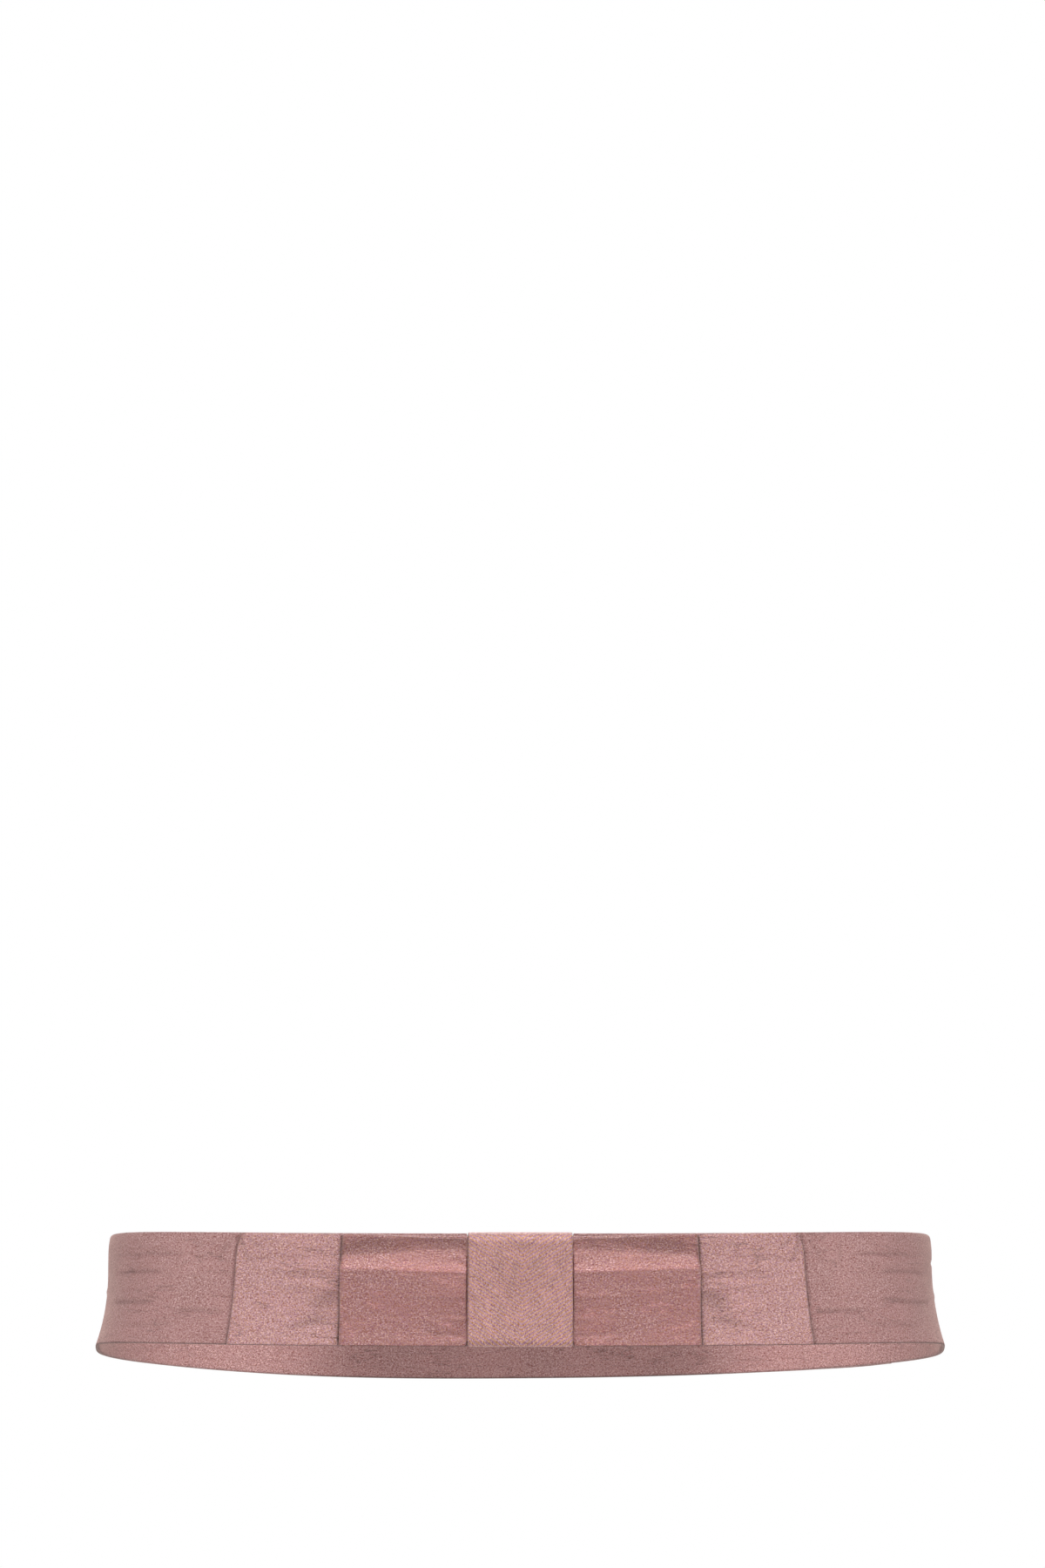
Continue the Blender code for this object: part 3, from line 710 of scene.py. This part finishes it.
# %% [markdown]
# ## Hand stitches
#
# A stitch is a short length of thread that dips into the cloth at both ends. So one is shaped from a
# small sphere, drawn out long and bent down at its ends, and each of the others is a copy of it laid
# between two points. A bevelled curve would do too, but its ends would be square.

# %% One stitch and its copies
THREAD, STITCH_ARCH = 0.26 * MM, 0.16 * MM


def make_first_stitch():
    """A stitch along X, 1 m long, for its copies to shorten."""
    bpy.ops.object.select_all(action="DESELECT")
    bpy.ops.mesh.primitive_uv_sphere_add(segments=8, ring_count=10, radius=0.5)
    stitch = bpy.context.object
    bpy.ops.object.mode_set(mode="EDIT")
    bpy.ops.transform.rotate(value=math.pi / 2, orient_axis="Y", center_override=(0, 0, 0))
    bpy.ops.transform.resize(value=(1.0, THREAD, THREAD))
    bpy.ops.object.mode_set(mode="OBJECT")
    return stitch


def lay_stitches(name, ends):
    """One piece of stitches, each given by its two ends and the way up from the cloth."""
    first = make_first_stitch()
    base = places_of(first.data)
    copies = []
    for start, end, up in ends:
        run = end - start
        forward = run / np.linalg.norm(run)
        side = np.cross(up, forward)
        side = side / np.linalg.norm(side)
        rise = np.cross(forward, side)
        copy = first.copy()
        copy.data = first.data.copy()
        bpy.context.scene.collection.objects.link(copy)
        lift = STITCH_ARCH * (1 - (2 * base[:, :1]) ** 2) + base[:, 2:]
        points = (start + end) / 2 + base[:, :1] * run + base[:, 1:2] * side + lift * rise
        copy.data.vertices.foreach_set("co", points.ravel())
        copies.append(copy)
    bpy.data.objects.remove(first)
    bpy.ops.object.select_all(action="DESELECT")
    for copy in copies:
        copy.select_set(True)
    bpy.context.view_layer.objects.active = copies[0]
    bpy.ops.object.join()
    piece = bpy.context.object
    piece.name = piece.data.name = name
    bpy.ops.object.shade_smooth()
    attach(piece, "root")
    print(name, len(copies), "stitches")
    return piece


def belt_point(girth, out, height):
    """One point on the belt, from millimetres."""
    return on_belt(np.array([girth * MM]), np.array([out * MM]), np.array([height * MM]))[0]


def out_of_belt(girth):
    """The direction straight out of the waist at a girth in millimetres."""
    _, _, out_x, out_y = waist(np.array([girth * MM]))
    return np.array([out_x[0], out_y[0], 0.0])


print("thread", THREAD / MM, "mm thick")

# %% [markdown]
# ## Where the stitches go
#
# The wide loop's corners are tacked to the band, the strap's end is slip-stitched behind, and each
# half of a press stud is sewn on over its rim. Careful hand sewing is evenly spaced, so loops lay out
# the rows. Each stitch ends a little inside the cloth, so that none hangs in the air.

# %% Sewing, in millimetres
TACKS = [(93.8, 95.6, 34.6), (94.2, 96.2, 35.5), (94.6, 96.7, 36.5)]  # from and to a girth, height
TACK_START_OUT, TACK_START_UP, TACK_END_OUT, TACK_GIRTH = 3.55, 0.9, 0.85, 96
JOIN_GIRTHS = np.linspace(-15.2, 14.2, 11)
JOIN_SLANT, JOIN_OVER, JOIN_UNDER = 1.0, 20.9, 19.0
JOIN_START_OUT, JOIN_END_OUT = 0.02, 0.42
STUD_HEIGHTS = (10.0, 28.0)
STUD_RIMS = ((0.72, 1), (1.28, -1))  # out of the inner layer's face, and the way up
STUD_STITCH = np.array([2.7, 4.2])  # from and to a distance off the stud's middle
STUD_DIP = 0.45


def tack_ends():
    """Three threads at each top corner of the wide loop, over its edge and down into the band."""
    ends = []
    for side in (-1, 1):
        for from_girth, to_girth, foot in TACKS:
            start = belt_point(side * from_girth, TACK_START_OUT, foot + TACK_START_UP)
            end = belt_point(side * to_girth, TACK_END_OUT, foot)
            ends.append((start, end, out_of_belt(side * TACK_GIRTH)))
    return ends


def join_ends():
    """Slanted slip stitches across the strap's join, on the inside of the band."""
    face = (KNOT_BACK - KNOT_WALL / 2) / MM
    ends = []
    for girth in JOIN_GIRTHS:
        start = belt_point(girth, face - JOIN_START_OUT, JOIN_OVER)
        end = belt_point(girth + JOIN_SLANT, face - JOIN_END_OUT, JOIN_UNDER)
        ends.append((start, end, -out_of_belt(girth)))
    return ends


def stud_ends():
    """Threads over the rims of the stud halves, four to each."""
    ends = []
    centre = STUD_GIRTH / MM
    inner_face = BAND_WALL / 2 / MM
    for height in STUD_HEIGHTS:
        for out, up in STUD_RIMS:
            for turn in np.radians([45, 135, 225, 315]):
                girths = centre + STUD_STITCH * math.cos(turn)
                heights = height + STUD_STITCH * math.sin(turn)
                start = belt_point(girths[0], inner_face + out, heights[0])
                end = belt_point(girths[1], inner_face + out - STUD_DIP * up, heights[1])
                ends.append((start, end, up * out_of_belt(centre)))
    return ends


corner_tacks = lay_stitches("corner_tacks", tack_ends())
join_stitches = lay_stitches("join_stitches", join_ends())
stud_threads = lay_stitches("stud_threads", stud_ends())

# %% [markdown]
# ## Colours and nodes
#
# A screen's colours are typed as hex, and a shader wants linear light, so one function turns them. One
# more adds a node with its settings and links, so that each material reads from top to bottom. Some
# inputs go by number: 0 to 4 of a map range are its value, where that comes from and where it goes,
# and 6 and 7 of a mix are its colours.

# %% Colour and node helpers
def linear(hex_colour):
    """An sRGB colour such as "b48a86" as linear red, green, blue and alpha, by the sRGB standard."""
    shares = [int(hex_colour[i : i + 2], 16) / 255 for i in (0, 2, 4)]
    return (*(c / 12.92 if c <= 0.04045 else ((c + 0.055) / 1.055) ** 2.4 for c in shares), 1.0)


def fill_inputs(tree, node, inputs):
    """Each input is a value, a socket to link from, or a node to link from its first output."""
    for key, value in inputs.items():
        if isinstance(value, bpy.types.Node):
            value = value.outputs[0]
        if isinstance(value, bpy.types.NodeSocket):
            tree.links.new(value, node.inputs[key])
        else:
            node.inputs[key].default_value = value


def add_node(tree, kind, inputs, **settings):
    made = tree.nodes.new("ShaderNode" + kind)
    for key, value in settings.items():
        setattr(made, key, value)
    fill_inputs(tree, made, inputs)
    return made


def new_material(name):
    """A material, its node tree, and its surface shader."""
    material = bpy.data.materials.new(name)
    material.use_nodes = True
    return material, material.node_tree, material.node_tree.nodes["Principled BSDF"]


def per_metre(millimetres):
    """The texture scale whose features are about that large, on coordinates in metres."""
    return 1 / (millimetres * MM)


print("dusty pink", [round(share, 3) for share in linear("b48a86")])

# %% [markdown]
# ## The weave
#
# Crepe-back satin has fine bright yarn over a tightly twisted weft. The weft shrinks and pulls the
# face into pebbles about half a millimetre across, which break the sheen up into sparks. Here those
# sparks are painted highlights, with the pebbles painted lighter and darker in the colour. The yarn
# takes the dye a little cooler on one side and warmer on the other, and where the knot's strap is
# drawn tight the pebbles line up in slanted ribs. An image would fix all that at one size, so each
# layer is a texture, read from the strip's own UV map in metres.

# %% Weave
PEBBLE, YARN = 0.42, 0.48  # millimetres across
RIB_WAVES = 2 * math.pi / 20  # a wave texture's bands come this far apart at scale 1


def weave(tree, cloth, ribs):
    """The pebbles, which side of the yarn shows, and the weave's height. ribs slant from a middle."""
    drawn = add_node(tree, "Mapping", {"Vector": cloth, "Scale": (0.8, 1.0, 1.0)})
    pebble = add_node(tree, "TexNoise", {
        "Vector": drawn, "Scale": per_metre(PEBBLE), "Detail": 2.0, "Roughness": 0.6, "Distortion": 0.8,
    }, noise_dimensions="2D")
    moved = add_node(tree, "Mapping", {"Vector": cloth, "Location": (0.7, 0.3, 0)})
    yarn = add_node(tree, "TexNoise", {
        "Vector": moved, "Scale": per_metre(YARN), "Detail": 2.0, "Roughness": 0.6, "Distortion": 0.6,
    }, noise_dimensions="2D")
    side_of_yarn = add_node(tree, "MapRange", {0: yarn, 1: 0.38, 2: 0.62})
    if not ribs:
        return pebble, side_of_yarn, pebble

    parts = add_node(tree, "SeparateXYZ", {0: cloth})
    off_middle = add_node(tree, "Math", {0: parts.outputs[1], 1: ribs["middle"]}, operation="SUBTRACT")
    either_side = add_node(tree, "Math", {0: off_middle}, operation="ABSOLUTE")
    folded = add_node(tree, "CombineXYZ", {0: parts.outputs[0], 1: either_side})
    slant = (0, 0, math.radians(ribs["turn"]))
    turned = add_node(tree, "Mapping", {"Vector": folded, "Rotation": slant})
    rib = add_node(tree, "TexWave", {
        "Vector": turned, "Scale": RIB_WAVES * per_metre(ribs["apart"]), "Distortion": 2.0,
        "Detail": 2.0, "Detail Scale": 1.2, "Detail Roughness": 0.6,
    }, wave_type="BANDS", bands_direction="X").outputs["Fac"]
    side_of_yarn = add_node(tree, "Mix", {0: ribs["share"], 2: side_of_yarn, 3: rib})
    height = add_node(tree, "Mix", {0: ribs["share"] / 3, 2: pebble, 3: rib})
    return pebble, side_of_yarn, height


print("pebbles", PEBBLE, "mm and yarn", YARN, "mm across")

# %% [markdown]
# ## Handling, rubbing and painted shade
#
# A belt is turned through a narrow opening and then pressed, so thin creases are left along the strip.
# They come in patches and are painted into the colour, as painted shade where they are sharp, or as a
# painted highlight where the satin is pulled tight over them. A thin line is where a noise stretched
# along the strip passes its middle value. The shade attribute is painted into the colour here too, as
# painted shade, and as painted light where it is below 0.

# %% Wear and painted shade
CREASES_APART = 6.0  # millimetres
CREASE_STRETCH, CREASE_WIDTH, PAINTED_CREASE_SHADE = 0.16, 0.012, -0.36
SHADE_DARK = -0.82  # what full shade takes away


def wear_and_painted_shade(tree, cloth, creased, patches, mottle):
    """Where the cloth is rubbed, and how bright that, its creases and the shade attribute leave it, as
    painted shade, and as painted light where the attribute is below 0. creased is how dark the painted
    shade on the creases is, and below 0 it is a painted highlight."""
    patch = add_node(tree, "TexNoise", {
        "Vector": cloth, "Scale": per_metre(patches), "Detail": 2.0, "Roughness": 0.5,
    }, noise_dimensions="2D")
    long = add_node(tree, "Mapping", {"Vector": cloth, "Scale": (CREASE_STRETCH, 1.0, 1.0)})
    wander = add_node(tree, "TexNoise", {
        "Vector": long, "Scale": per_metre(CREASES_APART),
        "Detail": 4.0, "Roughness": 0.62, "Distortion": 0.3,
    }, noise_dimensions="2D")
    line = add_node(tree, "Math", {0: wander, 1: 0.5, 2: CREASE_WIDTH}, operation="COMPARE")
    where = add_node(tree, "MapRange", {0: patch, 1: 0.44, 2: 0.52, 3: 0.0, 4: creased})
    # Painted shade along the crease lines, or a painted highlight where that is set below 0.
    crease = add_node(tree, "Math", {0: line, 1: where}, operation="MULTIPLY")
    wear_and_tone = add_node(tree, "MapRange", {0: patch, 1: 0.3, 2: 0.7, 3: 1 - mottle, 4: 1 + mottle})
    dark = add_node(tree, "Math", {0: crease, 1: PAINTED_CREASE_SHADE, 2: wear_and_tone}, operation="MULTIPLY_ADD")
    # The shade attribute darkens the colour as painted shade, and lightens it as painted light below 0.
    shade = add_node(tree, "Attribute", {}, attribute_name="shade").outputs["Fac"]
    return patch, add_node(tree, "Math", {0: shade, 1: SHADE_DARK, 2: dark}, operation="MULTIPLY_ADD")


print("creases about", CREASES_APART, "mm apart")

# %% [markdown]
# ## The four pieces' satin
#
# All four are cut from one cloth, but each takes the light in its own way, and that is painted into
# their dyes as light and shade. The wide loop lies smooth and is given the lightest dye, the narrow one
# is drawn tight and is given a deeper one, and the knot is ribbed. One function makes them all, and
# what differs is handed to it. Rayon satin keeps a moderate gloss along the strip, and its twisted weft
# gives it a faint pink sheen at grazing angles.

# %% Satin
CRUMPLE, CRUMPLE_HEIGHT, WEAVE_HEIGHT = 4.5, 0.6 * MM, 0.12 * MM  # the first in millimetres across
# The pebbles' sparkle below is a painted highlight, added to the dye's colour.
PAINTED_SPARK = (0.215, 0.18, 0.177)  # what the brightest pebbles add to the dye, and the darkest take away
KNOT_RIBS = {"middle": KNOT_WIDTH / 2, "turn": 32, "apart": 1.1, "share": 0.85}


def crepe(name, cool, warm, grain_and_sparkle=0.8, creased=1.0, glints=0.5, patches=16, mottle=0.06, ribs=None):
    """Crepe-back satin in the dye's cool and warm tone. grain_and_sparkle is how much the pebbles
    differ, in height and in painted sparkle, glints how bright the painted glints on the best are,
    patches how many millimetres the rubbed places are across, and mottle how much lighter or darker
    those are."""
    material, tree, shader = new_material(name)
    cloth = add_node(tree, "UVMap", {}, uv_map="cloth")
    pebble, side_of_yarn, height = weave(tree, cloth, ribs)
    patch, bright = wear_and_painted_shade(tree, cloth, creased, patches, mottle)

    dyes = {0: side_of_yarn, 6: linear(cool), 7: linear(warm)}
    yarns = add_node(tree, "Mix", dyes, data_type="RGBA").outputs[2]
    # The pebbles' light and dark, and the glints on the brightest, are painted highlights and shade in
    # the colour.
    light = add_node(tree, "MapRange", {0: pebble, 1: 0.3, 2: 0.7, 3: -grain_and_sparkle, 4: grain_and_sparkle})
    glint = add_node(tree, "MapRange", {0: pebble, 1: 0.54, 2: 0.68, 3: 0.0, 4: glints})
    clear = add_node(tree, "MapRange", {0: patch, 1: 0.38, 2: 0.56, 3: 1.0, 4: 0.0})
    spark = add_node(tree, "Math", {0: glint, 1: clear, 2: light}, operation="MULTIPLY_ADD")
    painted_sparkle = add_node(tree, "VectorMath", {0: spark, 1: PAINTED_SPARK, 2: yarns}, operation="MULTIPLY_ADD")
    laid = add_node(tree, "Mapping", {"Vector": cloth, "Scale": (0.4, 1.0, 1.0)})
    crumple = add_node(tree, "TexNoise", {
        "Vector": laid, "Scale": per_metre(CRUMPLE), "Detail": 4.0, "Roughness": 0.62, "Distortion": 1.6,
    }, noise_dimensions="2D")
    crumpled = add_node(tree, "Bump", {"Height": crumple, "Distance": CRUMPLE_HEIGHT, "Strength": 0.65})
    fill_inputs(tree, shader, {
        "Base Color": add_node(tree, "VectorMath", {0: painted_sparkle, "Scale": bright}, operation="SCALE"),
        "Roughness": add_node(tree, "MapRange", {0: pebble, 1: 0.35, 2: 0.68, 3: 0.55, 4: 0.32}),
        "Specular IOR Level": 0.75, "Specular Tint": linear("ffd2c8"), "Anisotropic": 0.4,
        "Sheen Weight": 0.5, "Sheen Tint": linear("f2d2c8"), "Sheen Roughness": 0.4,
        "Tangent": add_node(tree, "Tangent", {}, direction_type="UV_MAP", uv_map="cloth"),
        "Normal": add_node(tree, "Bump", {
            "Height": height, "Distance": WEAVE_HEIGHT, "Strength": 0.7 * grain_and_sparkle, "Normal": crumpled,
        }),
    })
    print(name, len(tree.nodes), "nodes")
    return material


# Each piece's dye is made lighter or deeper to paint in how brightly it is lit.
for piece, satin in (
    (band, crepe("band_crepe_satin", "9f797b", "a27a75", creased=0.7)),
    (outer_bow, crepe("outer_bow_crepe_satin", "ae8795", "b78a77", grain_and_sparkle=1.0)),
    (inner_bow, crepe("inner_bow_crepe_satin", "986d78", "a07161",
                      grain_and_sparkle=0.55, creased=-0.8, glints=0.8)),
    (knot, crepe("knot_crepe_satin", "9e7795", "ba8d63",
                 creased=0, patches=4, mottle=0.12, ribs=KNOT_RIBS)),
):
    piece.data.materials.append(satin)

# %% [markdown]
# ## Thread and nickel
#
# The thread is mercerised cotton a little deeper than the cloth, with its twist showing as slanted
# ridges a quarter of a millimetre apart. The press studs are stamped brass with bright nickel on it,
# rubbed duller in small patches. They keep their solids' own shape.

# %% Small materials
TWIST, RUBBED = 0.25, 1.6  # millimetres


def sewing_thread(name):
    material, tree, shader = new_material(name)
    place = add_node(tree, "TexCoord", {}).outputs["Object"]
    turned = add_node(tree, "Mapping", {"Vector": place, "Rotation": (0.5, 0.4, 0.6)})
    wave = {"Vector": turned, "Scale": RIB_WAVES * per_metre(TWIST), "Distortion": 0.6}
    twist = add_node(tree, "TexWave", wave).outputs["Fac"]
    tones = {0: twist, 6: linear("7d5452"), 7: linear("b98c86")}
    fill_inputs(tree, shader, {
        "Base Color": add_node(tree, "Mix", tones, data_type="RGBA").outputs[2],
        "Roughness": 0.55,
        "Normal": add_node(tree, "Bump", {"Height": twist, "Distance": 0.05 * MM, "Strength": 0.6}),
    })
    return material


def nickel_plate(name):
    material, tree, shader = new_material(name)
    place = add_node(tree, "TexCoord", {}).outputs["Object"]
    rubs = {"Vector": place, "Scale": per_metre(RUBBED), "Detail": 4.0, "Roughness": 0.6}
    wear_and_tone = add_node(tree, "TexNoise", rubs)
    tones = {0: wear_and_tone, 6: linear("a9a49c"), 7: linear("d8d4cc")}
    fill_inputs(tree, shader, {
        "Base Color": add_node(tree, "Mix", tones, data_type="RGBA").outputs[2],
        "Roughness": add_node(tree, "MapRange", {0: wear_and_tone, 1: 0.35, 2: 0.65, 3: 0.42, 4: 0.22}),
        "Metallic": 1.0,
        "Normal": add_node(tree, "Bump", {"Height": wear_and_tone, "Distance": 0.02 * MM, "Strength": 0.3}),
    })
    return material


thread = sewing_thread("mercerised_cotton_thread")
for piece in (corner_tacks, join_stitches, stud_threads):
    piece.data.materials.clear()
    piece.data.materials.append(thread)
nickel = nickel_plate("stamped_nickel_plate")
studs = [node for node in frame["nodes"] if node.startswith("stud_")]
for node in studs:
    frame["nodes"][node].material_slots[0].material = nickel
print(len(studs), "stud halves nickelled")

# %% [markdown]
# ## Floor, background and light
#
# The belt hangs at waist height over a pale floor, before plain white. Two large softboxes stand well
# to the sides, a little below it, and put their sheen where the cloth turns. Two more hang in front,
# one high up, whose light picks out the narrow loop's tuck, and one behind lights the back. White
# light from all round fills the rest. The floor glows for the camera, which keeps it pale and hardly
# lights the belt from below.

# %% Studio
FLOOR_BELOW, FLOOR_SIZE = 1.0, 60
FLOOR_GLOW, FLOOR_GLOW_SEEN = 0.1, 0.8
SOFTBOXES = [  # degrees round and up, metres away, metres across, watts
    (-72, -6, 2.3, (1.0, 1.0), 18),
    (72, -6, 2.3, (1.0, 1.0), 18),
    (0, 60, 2.1, (1.8, 0.8), 37),
    (0, 29, 2.3, (1.5, 0.4), 12.5),
    (180, 48, 2.4, (1.8, 1.0), 34),
]
FILL = 0.14
WHITE = (1, 1, 1, 1)

bpy.ops.object.select_all(action="DESELECT")
bpy.ops.mesh.primitive_plane_add(size=FLOOR_SIZE, location=(0, 0, -FLOOR_BELOW))
floor = bpy.context.object
floor.name = "floor"
paint, tree, shader = new_material("matt_white_paint")
place = add_node(tree, "TexCoord", {}).outputs["Object"]
mottle = add_node(tree, "TexNoise", {"Vector": place, "Scale": 3.0, "Detail": 3.0})
tones = {0: mottle, 6: linear("e6e5e3"), 7: linear("ecebe9")}
tone = add_node(tree, "Mix", tones, data_type="RGBA").outputs[2]
seen = add_node(tree, "LightPath", {}).outputs["Is Camera Ray"]
fill_inputs(tree, shader, {
    "Base Color": tone, "Roughness": 0.8, "Emission Color": tone,
    "Emission Strength": add_node(tree, "MapRange", {0: seen, 3: FLOOR_GLOW, 4: FLOOR_GLOW_SEEN}),
})
floor.data.materials.append(paint)

for number, (around, up, away, size, power) in enumerate(SOFTBOXES):
    light = bpy.data.lights.new(f"softbox_{number}", "AREA")
    light.shape = "RECTANGLE"
    light.size, light.size_y = size
    light.energy = power
    around, up = math.radians(around), math.radians(up)
    lamp = bpy.data.objects.new(light.name, light)
    level = away * math.cos(up)
    lamp.location = (level * math.sin(around), -level * math.cos(around), away * math.sin(up))
    lamp.rotation_euler = (math.pi / 2 - up, 0, around)
    bpy.context.scene.collection.objects.link(lamp)

world = bpy.data.worlds.new("white_studio")
world.use_nodes = True
bpy.context.scene.world = world
sky = world.node_tree
sky.nodes.clear()
backdrop = add_node(sky, "MixShader", {
    0: add_node(sky, "LightPath", {}).outputs["Is Camera Ray"],
    1: add_node(sky, "Background", {"Color": WHITE, "Strength": FILL}),
    2: add_node(sky, "Background", {"Color": WHITE, "Strength": 1.0}),
})
add_node(sky, "OutputWorld", {"Surface": backdrop})
bpy.context.scene.view_settings.view_transform = "Standard"
print(len(SOFTBOXES), "softboxes, fill", FILL)
